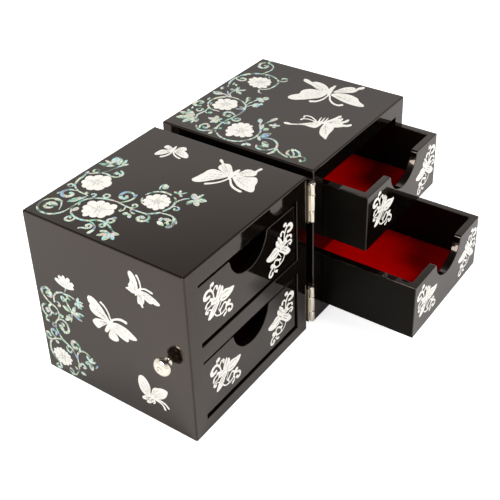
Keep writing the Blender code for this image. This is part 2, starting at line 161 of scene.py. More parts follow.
# Inlay drawn on each face, in thousandths of the face's two sides: across, then down. It is traditional
# ornament, laid out from the photograph.
LEFT_TOP_SHARES = {"stems": (
    # A stem is its width at the start, middle and end, then its points.
    (5, 12, 13, 102, 153, 128, 140, 150, 122, 165, 100, 167, 76, 154, 53, 134, 38, 110, 30, 83, 34, 60, 49,
     46, 70, 41, 98, 44, 126, 58, 154, 80, 175),
    (13, 8, 10, 80, 175, 105, 185, 132, 187, 160, 187),
    (8, 12, 12, 160, 188, 198, 190, 232, 198, 254, 212, 272, 233, 286, 258, 297, 288, 303, 320),
    (7, 9, 10, 303, 320, 305, 348, 301, 380, 299, 410, 297, 440, 295, 470, 297, 500, 301, 535),
    (7, 12, 12, 165, 190, 136, 202, 113, 223, 99, 250, 94, 280, 97, 312, 109, 342),
    (12, 12, 8, 109, 342, 128, 362, 138, 386, 140, 410, 136, 432, 126, 458, 112, 483, 100, 510),
    (9, 10, 20, 109, 348, 102, 375, 89, 399, 66, 412, 36, 410),
    (10, 13, 14, 38, 342, 50, 356, 54, 374, 68, 386, 84, 382, 89, 366, 76, 358, 68, 368),
    (7, 8, 10, 132, 206, 133, 218, 142, 224),
    (10, 13, 12, 92, 267, 74, 273, 57, 263, 54, 244, 68, 231, 86, 237, 80, 250),
    (19, 21, 8, 241, 94, 238, 111, 220, 113, 204, 96, 206, 72, 223, 54, 248, 58, 264, 76, 271, 102),
    (8, 9, 10, 269, 182, 271, 146, 275, 116, 289, 84, 310, 58),
    (10, 13, 10, 310, 58, 332, 48, 360, 39, 390, 39, 414, 34),
    (10, 11, 10, 430, 48, 444, 66, 458, 82, 469, 102, 472, 126, 469, 154, 472, 180, 484, 196),
    (10, 11, 9, 458, 82, 480, 102, 505, 114, 530, 120, 555, 128, 584, 138),
    (7, 12, 8, 308, 362, 330, 380, 360, 393, 386, 391, 404, 386),
    (9, 19, 17, 380, 390, 399, 372, 404, 346, 392, 324, 370, 318, 350, 326, 342, 346, 352, 362, 368, 352),
    (8, 9, 11, 298, 406, 282, 416, 262, 419, 251, 410, 264, 402),
    (8, 11, 12, 300, 432, 312, 452, 329, 454, 337, 440, 330, 428, 319, 434),
    (8, 11, 8, 296, 446, 278, 456, 270, 476, 271, 486),
    (9, 17, 22, 300, 534, 295, 556, 278, 570, 256, 570, 241, 554, 239, 536, 251, 524, 268, 530, 266, 544),
    (8, 14, 12, 301, 534, 316, 555, 330, 570, 344, 580),
    (8, 9, 11, 344, 580, 349, 610, 352, 642, 345, 670, 328, 694, 312, 706),
    (11, 16, 13, 344, 668, 320, 688, 290, 701, 269, 698), (4, 11, 6, 356, 474, 366, 454, 380, 438, 400, 427),
    (5, 12, 10, 428, 422, 453, 429, 476, 446, 492, 468, 498, 500, 495, 532),
    (8, 12, 10, 486, 558, 472, 578, 448, 591, 414, 600, 384, 596, 364, 588),
    (8, 9, 10, 497, 505, 497, 472, 506, 450, 526, 437, 546, 438, 556, 450),
    (7, 9, 8, 450, 590, 476, 595, 500, 606, 516, 624),
    (7, 11, 11, 420, 600, 427, 618, 422, 638, 406, 641, 399, 628, 410, 619),
    (9, 14, 12, 482, 196, 504, 200, 524, 188, 534, 168), (7, 8, 9, 494, 192, 507, 184, 506, 172),
), "coils": (
    # A coil is its middle, first and last radius, first and last angle in degrees, and width.
    (102, 89, 12, 31, -30, 410, 18), (114, 423, 12, 13, 0, 360, 12), (165, 430, 16, 16, 0, 360, 13),
    (293, 44, 12, 14, -150, 150, 11), (287, 205, 11, 13, -100, 140, 10), (317, 266, 15, 16, 200, 530, 11),
    (466, 58, 14, 16, -170, 150, 11),
), "leaves": (
    # A leaf is its foot, its tip and its width.
    (163, 120, 160, 58, 20), (223, 50, 199, 39, 13), (259, 188, 174, 138, 34), (260, 459, 230, 492, 22),
    (256, 572, 250, 594, 11), (266, 670, 282, 618, 25), (282, 632, 318, 616, 22), (320, 676, 314, 628, 23),
    (284, 658, 314, 666, 15), (276, 694, 300, 664, 15), (522, 562, 527, 522, 17), (522, 562, 554, 542, 16),
    (522, 562, 558, 584, 11), (522, 562, 509, 586, 13), (522, 654, 566, 616, 34), (524, 654, 588, 662, 19),
    (524, 652, 545, 712, 34), (520, 654, 488, 702, 30), (520, 650, 468, 646, 26), (88, 500, 24, 506, 36),
    (84, 496, 38, 454, 22), (86, 496, 76, 442, 26), (86, 502, 54, 546, 22), (90, 500, 98, 542, 24),
    (550, 116, 529, 16, 26), (554, 116, 572, 24, 22), (572, 120, 624, 50, 62), (576, 136, 636, 118, 20),
    (576, 138, 608, 154, 16), (180, 206, 204, 196, 12),
), "drops": (
    # A drop is its middle and its two half widths.
    (150, 219, 16, 14), (191, 432, 11, 12), (427, 29, 15, 9), (283, 166, 12, 13), (248, 448, 13, 13),
    (268, 690, 9, 10), (536, 461, 20, 16), (503, 162, 15, 14),
), "flowers": (
    # A flower is its middle, then each petal's direction in degrees and its reach.
    (386, 136, 18, 78, 78, 80, 128, 80, 170, 78, 207, 79, 240, 79, 277, 81, 325, 68),
    (208, 314, 5, 68, 33, 90, 90, 84, 125, 80, 165, 73, 200, 88, 222, 83, 252, 84, 285, 89, 330, 75),
    (412, 510, 33, 66, 62, 69, 88, 70, 120, 74, 145, 76, 182, 67, 218, 69, 250, 73, 275, 75, 320, 67, 357,
     68),
), "wings": (
    # A wing is an outline, which starts where the wing is held.
    (836, 258, 795, 248, 770, 228, 757, 208, 765, 198, 790, 197, 815, 203, 827, 220),
    (834, 252, 838, 215, 848, 195, 870, 200, 870, 220, 860, 245),
    (840, 266, 825, 295, 813, 330, 813, 365, 828, 373, 850, 355, 865, 330, 868, 310, 865, 285),
    (850, 270, 880, 270, 900, 285, 900, 305, 885, 318, 868, 315, 860, 290),
    (796, 662, 760, 650, 720, 620, 680, 585, 660, 560, 658, 535, 670, 523, 700, 528, 745, 537, 780, 540, 803,
     555, 808, 580, 806, 610),
    (802, 654, 809, 610, 823, 575, 845, 563, 870, 562, 890, 533, 905, 530, 900, 548, 880, 570, 888, 595, 878,
     618, 855, 640, 830, 660),
    (794, 686, 755, 730, 733, 770, 725, 820, 728, 848, 750, 850, 785, 830, 820, 820, 848, 800, 852, 780, 834,
     750, 822, 710),
    (814, 688, 860, 693, 893, 705, 903, 730, 902, 748, 935, 755, 943, 762, 935, 773, 905, 765, 875, 775, 852,
     765, 832, 730),
), "ribs": (
    # A rib is drawn as a stem is, in white shell: bodies and feelers.
    (8, 17, 9, 824, 262, 850, 256, 884, 248), (15, 12, 9, 758, 247, 775, 259, 800, 267, 828, 266),
    (11, 10, 8, 795, 342, 800, 315, 813, 290, 832, 271),
    (10, 30, 14, 766, 682, 800, 672, 834, 674, 866, 674),
    (16, 12, 10, 670, 608, 695, 637, 730, 663, 778, 679),
    (16, 14, 10, 704, 798, 713, 756, 733, 721, 772, 688),
)}
RIGHT_TOP_SHARES = {"stems": (
    (8, 12, 9, 269, 198, 266, 166, 270, 136, 288, 108, 314, 86, 344, 77),
    (9, 14, 20, 344, 77, 376, 79, 406, 92, 434, 118),
    (9, 11, 10, 443, 126, 452, 160, 452, 196, 444, 230, 430, 260),
    (10, 11, 11, 430, 260, 410, 286, 380, 304, 348, 314, 310, 318, 276, 314, 240, 308, 200, 299, 160, 295,
     124, 300, 93, 310, 68, 326),
    (10, 11, 12, 58, 340, 40, 368, 30, 398, 27, 430, 31, 464, 44, 494, 62, 514, 86, 532, 116, 544),
    (12, 12, 9, 116, 544, 150, 546, 186, 538, 216, 524, 240, 504, 260, 488, 286, 478),
    (11, 12, 8, 100, 302, 70, 296, 46, 272, 36, 244, 43, 216, 66, 192),
    (11, 16, 16, 54, 222, 80, 212, 104, 218, 110, 240, 92, 259, 70, 252, 74, 236),
    (8, 12, 13, 174, 298, 168, 320, 182, 334, 194, 322, 186, 312), (7, 8, 7, 174, 294, 175, 270, 177, 250),
    (9, 17, 17, 274, 308, 289, 286, 293, 260, 278, 239, 256, 244, 245, 266, 250, 283, 264, 280),
    (9, 15, 16, 240, 310, 225, 328, 226, 352, 244, 360, 257, 346, 246, 334),
    (8, 9, 9, 406, 303, 422, 309, 434, 322), (8, 9, 8, 414, 287, 446, 289, 476, 296, 504, 302),
    (7, 8, 8, 434, 270, 446, 264, 460, 262), (8, 10, 9, 464, 80, 459, 104, 452, 128, 449, 150),
    (9, 9, 8, 452, 150, 474, 126, 500, 116, 530, 122), (8, 9, 6, 464, 128, 482, 106, 502, 90),
    (5, 6, 5, 586, 96, 596, 84), (8, 13, 9, 554, 52, 580, 42, 610, 28, 644, 22, 676, 22, 702, 30),
    (16, 20, 12, 718, 34, 742, 46, 766, 62, 786, 86, 798, 112),
    (9, 11, 9, 800, 116, 810, 146, 813, 180, 808, 210, 796, 240, 780, 266),
    (9, 11, 9, 780, 266, 758, 281, 726, 288, 690, 288, 660, 280, 640, 263, 629, 238),
    (6, 11, 5, 626, 234, 604, 242, 589, 256, 586, 272),
    (8, 13, 13, 780, 262, 779, 286, 790, 306, 810, 309, 824, 294, 820, 276, 804, 276),
    (5, 9, 5, 809, 152, 792, 168, 768, 180), (5, 9, 5, 812, 180, 796, 186, 782, 200),
    (12, 17, 12, 674, 28, 662, 50, 662, 74, 678, 90, 694, 82, 696, 62, 682, 56),
    (8, 9, 9, 808, 130, 836, 138, 866, 146, 896, 146, 924, 134, 944, 112, 953, 88),
    (10, 13, 13, 953, 88, 960, 72, 976, 68, 990, 76),
    (14, 20, 16, 950, 52, 932, 39, 908, 40, 886, 52, 878, 74, 889, 95, 910, 99, 923, 86, 914, 76),
    (8, 12, 9, 146, 132, 170, 120, 200, 124, 230, 129, 268, 124),
    (14, 23, 18, 268, 68, 259, 40, 270, 19, 296, 14, 314, 29, 310, 50, 290, 50),
    (7, 9, 7, 224, 130, 214, 156), (8, 9, 8, 244, 504, 280, 504, 318, 512),
    (6, 8, 7, 64, 524, 56, 540, 50, 550),
    (8, 12, 13, 146, 584, 158, 610, 159, 640, 148, 670, 126, 693, 94, 708),
    (13, 17, 9, 94, 708, 60, 717, 36, 712, 19, 704),
    (7, 13, 10, 90, 704, 64, 692, 45, 668, 36, 640, 42, 616, 62, 602),
    (8, 10, 9, 88, 716, 70, 738, 57, 764, 50, 786), (10, 14, 10, 108, 779, 82, 783, 68, 800, 60, 824),
    (12, 13, 11, 130, 804, 120, 832, 96, 854, 72, 848, 54, 826), (9, 10, 9, 72, 830, 90, 822, 104, 808),
    (8, 10, 15, 86, 856, 90, 878, 78, 898, 58, 904, 45, 892, 54, 882),
), "coils": (
    (226, 93, 15, 18, 60, 420, 12),
), "leaves": (
    (178, 250, 174, 192, 28), (178, 250, 134, 236, 28), (178, 250, 220, 220, 29), (178, 252, 146, 268, 20),
    (178, 252, 208, 272, 20), (366, 308, 344, 260, 19), (368, 308, 382, 262, 23), (454, 90, 452, 20, 44),
    (534, 126, 535, 86, 23), (534, 126, 584, 116, 26), (534, 130, 574, 172, 23), (532, 130, 512, 180, 26),
    (500, 42, 542, 30, 23), (584, 66, 618, 58, 11), (140, 116, 86, 32, 42), (146, 112, 150, 9, 34),
    (154, 116, 194, 28, 26), (140, 120, 56, 102, 36), (144, 124, 98, 168, 32), (142, 122, 66, 154, 18),
    (208, 48, 240, 35, 10), (346, 60, 382, 47, 17), (308, 108, 340, 97, 15), (276, 480, 320, 448, 28),
    (218, 522, 266, 508, 22), (314, 512, 378, 530, 26), (294, 564, 268, 574, 19), (294, 564, 285, 530, 20),
    (294, 564, 312, 590, 18), (294, 564, 318, 552, 16), (52, 550, 17, 532, 20), (52, 548, 38, 578, 22),
    (144, 554, 114, 592, 20), (138, 562, 214, 596, 38), (80, 668, 58, 612, 28), (76, 666, 116, 608, 34),
    (52, 774, 45, 814, 14), (106, 806, 132, 784, 19),
), "drops": (
    (41, 310, 16, 10), (109, 326, 14, 10), (442, 336, 25, 22), (467, 354, 12, 12), (514, 310, 20, 23),
    (542, 336, 20, 19), (502, 334, 15, 16), (470, 260, 17, 14), (492, 250, 16, 15), (599, 82, 10, 8),
    (229, 166, 13, 12), (231, 548, 19, 16),
), "flowers": (
    (360, 180, 20, 73, 85, 72, 138, 76, 160, 72, 207, 80, 228, 80, 262, 68, 295, 80, 330, 70),
    (704, 186, 0, 66, 30, 68, 54, 67, 92, 69, 125, 84, 150, 80, 177, 74, 208, 73, 245, 77, 272, 84, 295, 82,
     322, 68),
    (150, 438, 18, 82, 38, 66, 65, 73, 108, 89, 140, 78, 163, 69, 205, 96, 236, 85, 266, 84, 298, 90, 322,
     92, 352, 88),
), "wings": (
    (786, 606, 730, 600, 695, 575, 665, 545, 640, 515, 620, 485, 615, 455, 625, 435, 650, 433, 675, 445, 697,
     464, 714, 464, 732, 459, 755, 462, 775, 475, 790, 495, 798, 530, 798, 570),
    (798, 604, 800, 555, 812, 510, 833, 469, 842, 443, 855, 406, 873, 388, 889, 394, 885, 420, 872, 449, 887,
     468, 890, 500, 875, 545, 846, 580),
    (784, 632, 760, 690, 745, 740, 738, 790, 740, 840, 753, 865, 770, 860, 788, 830, 800, 812, 825, 790, 840,
     750, 842, 710, 832, 675, 816, 644),
    (820, 628, 865, 635, 905, 650, 935, 680, 938, 706, 926, 719, 950, 723, 976, 740, 973, 754, 950, 756, 928,
     739, 900, 736, 875, 724, 852, 690),
    (464, 770, 400, 770, 387, 740, 388, 700, 373, 665, 350, 625, 345, 595, 358, 585, 367, 605, 366, 630, 385,
     665, 410, 690, 435, 715, 460, 730),
    (468, 786, 420, 790, 380, 803, 345, 825, 323, 860, 312, 880, 330, 878, 370, 867, 410, 862, 445, 855, 464,
     830),
    (466, 784, 450, 836, 465, 870, 485, 888, 500, 913, 523, 922, 533, 912, 515, 895, 508, 876, 520, 869, 543,
     882, 570, 880, 572, 870, 545, 862, 532, 848, 555, 848, 570, 836, 552, 826, 552, 816, 570, 825, 588, 820,
     586, 808, 555, 800, 520, 789, 490, 776),
), "ribs": (
    (10, 28, 12, 764, 626, 806, 610, 850, 596, 898, 594),
    (22, 15, 9, 652, 576, 672, 606, 715, 622, 770, 623),
    (22, 14, 9, 706, 750, 692, 736, 697, 700, 728, 660, 774, 633), (5, 24, 16, 456, 730, 464, 764, 472, 796),
    (8, 9, 4, 460, 748, 484, 739, 514, 732), (8, 9, 4, 462, 760, 490, 756, 522, 751),
    (8, 9, 4, 464, 774, 496, 772, 530, 768), (9, 9, 13, 455, 730, 460, 690, 450, 655, 435, 649),
    (9, 9, 11, 462, 730, 485, 695, 492, 665, 482, 644, 466, 648),
)}
OUTER_SIDE_SHARES = {"stems": (
    (10, 14, 22, 120, 544, 94, 536, 66, 518, 46, 494, 42, 468, 60, 449, 88, 444, 108, 460),
    (9, 11, 9, 122, 514, 125, 484, 138, 458, 162, 437, 192, 427, 216, 429),
    (8, 9, 8, 214, 426, 250, 424, 286, 436), (8, 12, 9, 224, 446, 212, 466, 220, 490, 234, 514, 244, 536),
    (8, 11, 15, 122, 514, 138, 506, 156, 508, 162, 522, 150, 528),
    (8, 13, 13, 132, 620, 142, 594, 138, 562, 116, 542, 90, 546, 76, 568, 84, 590, 108, 598, 126, 584),
    (9, 12, 9, 56, 556, 34, 568, 22, 592, 28, 616, 50, 634, 74, 622, 86, 600),
    (9, 11, 16, 50, 634, 39, 650, 42, 668, 56, 668),
    (9, 12, 19, 104, 682, 108, 654, 128, 628, 158, 615, 186, 626, 198, 656, 188, 684, 162, 698),
    (9, 12, 9, 103, 680, 108, 712, 124, 740, 146, 760, 174, 774),
    (9, 13, 10, 132, 760, 164, 772, 194, 790, 214, 816, 228, 844),
    (9, 12, 12, 146, 762, 116, 763, 86, 774, 58, 792, 39, 818, 32, 850, 35, 884, 48, 912, 70, 932),
    (12, 16, 13, 70, 932, 88, 948, 88, 970, 70, 981, 56, 970, 68, 958),
    (14, 19, 17, 52, 794, 30, 796, 16, 780, 19, 762, 36, 756, 46, 770),
    (10, 16, 13, 84, 766, 65, 750, 62, 728, 80, 716, 97, 726, 92, 744),
    (12, 14, 13, 200, 792, 182, 782, 163, 794, 161, 814, 178, 824, 192, 812),
    (9, 20, 19, 249, 790, 256, 764, 246, 739, 224, 729, 206, 746, 209, 769, 226, 778, 236, 764),
    (9, 11, 8, 228, 844, 234, 812, 250, 785, 276, 771, 300, 770, 322, 784),
    (10, 10, 8, 228, 844, 231, 876, 228, 910, 218, 942, 198, 968, 170, 982),
    (8, 15, 14, 242, 888, 252, 868, 268, 865, 278, 880, 266, 890), (7, 8, 7, 226, 384, 220, 398, 212, 412),
), "coils": (
    (92, 680, 9, 14, 30, 400, 12),
), "leaves": (
    (216, 430, 246, 452, 14), (290, 442, 334, 432, 17), (290, 446, 336, 454, 15), (290, 448, 322, 476, 18),
    (292, 448, 298, 482, 17), (288, 446, 274, 472, 15), (290, 440, 308, 410, 17), (244, 536, 274, 480, 22),
    (246, 536, 326, 514, 28), (246, 538, 308, 558, 19), (242, 540, 186, 606, 30), (244, 542, 224, 602, 12),
    (238, 532, 182, 512, 26), (142, 604, 174, 578, 24), (166, 698, 128, 658, 26), (318, 822, 300, 784, 19),
    (318, 822, 282, 852, 24), (318, 822, 342, 786, 18), (320, 824, 362, 806, 17), (318, 824, 328, 878, 32),
    (354, 850, 374, 822, 10), (230, 900, 246, 866, 15), (228, 932, 274, 936, 20), (228, 934, 196, 912, 13),
    (178, 982, 158, 940, 36),
), "drops": (
    (93, 477, 25, 22), (192, 464, 16, 19), (60, 594, 14, 17), (157, 648, 14, 14), (92, 794, 13, 10),
), "flowers": (
    (118, 884, 25, 61, 60, 56, 92, 59, 132, 64, 158, 67, 180, 72, 203, 69, 230, 61, 262, 59, 288, 58, 308,
     60, 330, 64, 355, 67),
), "wings": (
    (224, 384, 195, 380, 166, 366, 158, 350, 172, 341, 192, 346, 183, 329, 194, 315, 209, 321, 216, 308, 230,
     309, 235, 324, 249, 309, 265, 315, 262, 332, 279, 328, 289, 342, 280, 355, 287, 366, 270, 376, 246,
     383),
    (718, 190, 718, 140, 705, 105, 685, 88, 670, 95, 668, 115, 675, 140, 670, 160, 660, 173, 663, 185, 642,
     200, 660, 208, 680, 215, 705, 208),
    (730, 184, 770, 176, 810, 188, 840, 205, 845, 218, 825, 227, 803, 225, 790, 233, 765, 227, 740, 210),
    (726, 190, 750, 215, 750, 240, 740, 260, 742, 273, 733, 279, 723, 265, 710, 263, 708, 240, 712, 215),
    (506, 470, 485, 430, 455, 390, 420, 363, 390, 357, 373, 372, 376, 398, 385, 408, 378, 425, 385, 450, 410,
     468, 440, 470, 475, 474),
    (500, 474, 450, 478, 410, 490, 388, 510, 393, 530, 420, 547, 445, 525, 474, 500),
    (518, 469, 560, 455, 610, 460, 650, 480, 675, 500, 660, 515, 620, 523, 620, 535, 605, 548, 570, 540, 535,
     522, 514, 500),
    (510, 490, 535, 525, 550, 550, 548, 570, 520, 583, 490, 577, 487, 555, 500, 525),
    (722, 842, 685, 850, 660, 830, 650, 795, 650, 765, 660, 735, 685, 726, 710, 745, 725, 780, 724, 810),
    (728, 840, 735, 795, 752, 770, 775, 760, 800, 750, 835, 750, 833, 773, 820, 800, 795, 823, 765, 838),
    (730, 846, 690, 853, 665, 872, 668, 886, 688, 883, 710, 865),
    (740, 846, 705, 873, 690, 893, 705, 898, 730, 880, 750, 860),
), "ribs": (
    (8, 18, 10, 700, 218, 720, 192, 740, 164), (9, 10, 13, 738, 164, 734, 128, 721, 99),
    (9, 10, 12, 736, 168, 768, 158, 804, 164), (18, 26, 14, 472, 540, 500, 496, 522, 452),
    (9, 11, 16, 514, 454, 502, 412, 482, 382, 463, 369), (9, 14, 20, 518, 453, 550, 433, 584, 421, 613, 424),
    (12, 20, 10, 708, 862, 736, 842, 766, 844), (7, 9, 5, 744, 860, 746, 872, 736, 884),
    (9, 11, 12, 750, 846, 785, 841, 815, 847, 833, 864), (9, 11, 13, 756, 850, 788, 855, 804, 869, 810, 885),
)}
# The spray on the drawer fronts is in thousandths of its own square, from the square's middle.
SPRAY_SHARES = {"stems": (
    (55, 75, 62, -232, -225, -300, -220, -350, -240, -355, -295, -315, -340, -262, -355),
    (60, 38, 28, -262, -355, -208, -345, -165, -300, -135, -238, -120, -175, -110, -107),
    (30, 30, 25, -180, -400, -192, -375, -198, -345),
    (28, 38, 62, -127, -255, -102, -300, -57, -322, -17, -305, -17, -265),
    (25, 38, 52, -208, -125, -270, -122, -325, -98, -340, -55),
    (30, 35, 60, -185, -25, -235, -15, -290, -12, -335, 20, -342, 55, -305, 75),
    (20, 22, 25, -290, 40, -245, 45, -215, 70),
    (25, 30, 40, -115, 225, -80, 280, -15, 320, 62, 335, 138, 322, 200, 285, 230, 240),
    (50, 38, 42, 15, 227, 60, 215, 107, 180, 157, 160, 200, 185, 212, 235, 185, 285),
    (25, 28, 25, 47, 222, 35, 265, 38, 320), (12, 20, 22, -15, 195, 25, 138, 65, 82, 85, 55),
    (38, 45, 60, 215, 255, 265, 275, 325, 305, 365, 355, 358, 405, 310, 428, 270, 410, 267, 380),
    (22, 32, 55, 192, 320, 208, 358, 180, 392, 130, 412),
), "drops": (
    (-145, -420, 55, 40), (280, 215, 50, 40),
), "wings": (
    (-62, -80, -38, -150, -7, -210, 30, -252, 65, -282, 85, -255, 88, -220, 125, -225, 148, -190, 145, -140,
     115, -80, 60, -25, 0, -15),
    (40, 10, 65, -40, 112, -88, 175, -110, 238, -95, 300, -65, 375, -45, 435, -25, 440, 7, 405, 50, 338, 90,
     255, 112, 175, 115, 110, 100, 65, 60),
    (40, 5, 45, 45, 5, 85, -50, 135, -95, 190, -140, 227, -200, 248, -262, 252, -302, 232, -298, 198, -260,
     140, -222, 92, -172, 50, -100, 17, -30, -10),
    (-240, -160, -205, -177, -165, -152, -125, -130, -80, -107, -40, -80, 15, -45, 10, 10, -55, 15, -125, 10,
     -182, -7, -208, -40, -190, -88, -212, -125),
), "gaps": (
    # A gap is drawn as a stem is, in lacquer, over the white shell.
    (5, 12, 7, 95, 28, 150, 52, 205, 62), (12, 10, 5, 88, -225, 78, -190, 60, -150),
    (5, 10, 5, 107, -80, 60, -40, 30, 15), (5, 10, 5, -10, 45, -80, 90, -150, 165),
    (5, 9, 5, -40, 20, -115, 60, -180, 125), (5, 9, 5, -25, -60, -85, -47, -155, -55),
    (5, 9, 5, 115, -35, 210, -40, 315, -10), (5, 9, 5, 10, -90, 35, -145, 60, -210),
)}
# Each drawer front's two sprays: middle, turn in degrees, scale, and mirrored or not.
SPRAY_PLACES_SHARES = {
    "left_upper": ((183, 477, 0, 0.97, 1), (834, 549, 0, 1.0, -1)),
    "left_lower": ((212, 499, -6, 1.0, 1), (836, 512, 0, 1.02, -1)),
    "right_upper": ((210, 477, 0, 1.0, 1), (855, 509, 6.5, 1.0, -1)),
    "right_lower": ((183, 477, -6, 1.0, 1), (845, 500, 2, 1.0, -1)),
}


# Meshes

def new_object(name, bm):
    bmesh.ops.recalc_face_normals(bm, faces=bm.faces[:])
    mesh = bpy.data.meshes.new(name)
    bm.to_mesh(mesh)
    bm.free()
    obj = bpy.data.objects.new(name, mesh)
    bpy.context.scene.collection.objects.link(obj)
    return obj


def box_mesh(low, high, radius=0.0):
    bm = bmesh.new()
    bmesh.ops.create_cube(bm, size=1.0)
    for vert in bm.verts:
        vert.co = Vector([high[k] if vert.co[k] > 0 else low[k] for k in range(3)])
    if radius:
        bmesh.ops.bevel(
            bm, geom=bm.edges[:], offset=radius, segments=ROUNDING_STEPS, profile=0.5, affect="EDGES")
    return bm


def join_rings(bm, rings):
    """A closed solid through rings of as many vertices each."""
    count = len(rings[0])
    for first, second in zip(rings, rings[1:]):
        for k in range(count):
            after = (k + 1) % count
            bm.faces.new((first[k], first[after], second[after], second[k]))
    bm.faces.new(rings[0][::-1])
    bm.faces.new(rings[-1])


def loft_mesh(sections):
    bm = bmesh.new()
    join_rings(bm, [[bm.verts.new(point) for point in section] for section in sections])
    return bm


def mouth(face, inward):
    """Levels through an opening's rounded rim at a face, and how much wider the opening is at each."""
    levels = [(face - inward * BEYOND, RIM_RADIUS)]
    for k in range(ROUNDING_STEPS + 1):
        angle = math.pi / 2 * k / ROUNDING_STEPS
        depth = RIM_RADIUS * (1 - math.cos(angle))
        levels.append((face + inward * depth, RIM_RADIUS * (1 - math.sin(angle))))
    return levels


def rectangle(low, high, grow):
    return [(low[0] - grow, low[1] - grow), (high[0] + grow, low[1] - grow),
            (high[0] + grow, high[1] + grow), (low[0] - grow, high[1] + grow)]


def cut(obj, bm):
    cutter = new_object(obj.name + "_cutter", bm)
    modifier = obj.modifiers.new("cut", "BOOLEAN")
    modifier.operation = "DIFFERENCE"
    modifier.solver = "EXACT"
    modifier.object = cutter
    seen = obj.evaluated_get(bpy.context.evaluated_depsgraph_get())
    mesh = bpy.data.meshes.new_from_object(seen)
    obj.modifiers.clear()
    old = obj.data
    obj.data = mesh
    mesh.name = obj.name
    bpy.data.meshes.remove(old)
    bpy.data.objects.remove(cutter)


def shade(obj):
    """Smooth roundings that leave the boards' faces flat: a large face rules the normals at its corners."""
    obj.data.set_sharp_from_angle(angle=SHARP_ANGLE)
    modifier = obj.modifiers.new("normals", "WEIGHTED_NORMAL")
    modifier.mode = "FACE_AREA"
    modifier.keep_sharp = True


def paint(obj, *materials):
    obj.data.materials.clear()
    for material in materials:
        obj.data.materials.append(material)


def polished(name, side):
    """A piece of a node's own form in its place, its facets joined and shaded as one round surface."""
    bm = bmesh.new()
    bm.from_mesh(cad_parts[name].data)
    bmesh.ops.remove_doubles(bm, verts=bm.verts[:], dist=WELD)
    piece = new_object(f"{name}_polished", bm)
    shade(piece)
    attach(piece, f"{side}_case")
    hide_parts(name)
    return piece


def case_skin(side, finishes):
    """One lacquer skin for a case's six boards: gloss outside and satin in the two openings."""
    outer, inner, base, shelf, top, back = [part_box(f"{side}_{name}") for name in CASE_BOARDS]
    low = Vector([min(a, b) for a, b in zip(outer[0], inner[0])])
    high = Vector([max(a, b) for a, b in zip(outer[1], inner[1])])
    high.z -= INLAY_ROOM
    if side == "right":
        high.x -= INLAY_ROOM
        left_wall, right_wall = inner[1].x, outer[0].x
    else:
        low.x += INLAY_ROOM
        left_wall, right_wall = outer[1].x, inner[0].x
    skin = new_object(f"{side}_case_lacquer", box_mesh(low, high, CASE_ARRIS))
    for floor, ceiling in ((base[1].z, shelf[0].z), (shelf[1].z, top[0].z)):
        cut(skin, loft_mesh([
            [(x, y, z) for x, z in rectangle((left_wall, floor), (right_wall, ceiling), grow)]
            for y, grow in mouth(low.y, 1) + [(back[0].y, 0.0)]
        ]))
    shade(skin)
    paint(skin, *finishes)
    for polygon in skin.data.polygons:
        centre = polygon.center
        inward = min(
            centre.x - low.x, high.x - centre.x, centre.z - low.z, high.z - centre.z, high.y - centre.y)
        if centre.y > low.y + 2 * RIM_RADIUS and inward > 2 * CASE_ARRIS:
            polygon.material_index = 1
    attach(skin, f"{side}_case")
    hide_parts(*[f"{side}_{name}" for name in CASE_BOARDS])


def scoop_outline(middle, top, grow):
    """The finger scoop's outline in x and z: a round notch with rounded shoulders."""
    centre_z = top + SCOOP_CENTRE_RISE
    radius = SCOOP_RADIUS + grow
    shoulder = SCOOP_SHOULDER - grow
    across = math.sqrt((SCOOP_RADIUS + SCOOP_SHOULDER) ** 2 - (SCOOP_CENTRE_RISE + SCOOP_SHOULDER) ** 2)
    meet = math.atan2(-(SCOOP_CENTRE_RISE + SCOOP_SHOULDER), across)
    shoulder_x = middle + across
    shoulder_z = top - SCOOP_SHOULDER
    points = [(shoulder_x, top + BEYOND)]
    for k in range(SHOULDER_STEPS + 1):
        angle = math.pi / 2 + (math.pi + meet - math.pi / 2) * k / SHOULDER_STEPS
        points.append((shoulder_x + shoulder * math.cos(angle), shoulder_z + shoulder * math.sin(angle)))
    for k in range(1, SCOOP_STEPS):
        angle = meet - (math.pi + 2 * meet) * k / SCOOP_STEPS
        points.append((middle + radius * math.cos(angle), centre_z + radius * math.sin(angle)))
    for x, z in points[SHOULDER_STEPS + 1::-1]:
        points.append((2 * middle - x, z))
    return points


def drawer_skin(drawer, finishes):
    """One lacquer skin for a drawer's five boards: gloss on the front and rims and satin elsewhere."""
    front, left, right, back, bottom = [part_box(f"{drawer}_drawer_{name}") for name in DRAWER_BOARDS]
    walls = (front, left, right, back)
    low = Vector([min(wall[0][k] for wall in walls) for k in range(3)])
    high = Vector([max(wall[1][k] for wall in walls) for k in range(3)])
    low.y += INLAY_ROOM
    skin = new_object(f"{drawer}_drawer_lacquer", box_mesh(low, high, RIM_RADIUS))
    inside_low = (left[1].x, front[1].y)
    inside_high = (right[0].x, back[0].y)
    cut(skin, loft_mesh([
        [(x, y, z) for x, y in rectangle(inside_low, inside_high, grow)]
        for z, grow in mouth(high.z, -1) + [(bottom[1].z, 0.0)]
    ]))
    cut(skin, box_mesh((*inside_low, low.z - BEYOND), (*inside_high, bottom[0].z)))
    middle = (low.x + high.x) / 2
    cut(skin, loft_mesh([
        [(x, y, z) for x, z in scoop_outline(middle, high.z, grow)]
        for y, grow in mouth(low.y, 1) + mouth(front[1].y, -1)[::-1]
    ]))
    shade(skin)
    paint(skin, *finishes)
    for polygon in skin.data.polygons:
        centre = polygon.center
        if centre.y > front[1].y - RIM_RADIUS and centre.z < high.z - 2 * RIM_RADIUS:
            polygon.material_index = 1
    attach(skin, f"{drawer}_drawer")
    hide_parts(*[f"{drawer}_drawer_{name}" for name in DRAWER_BOARDS])


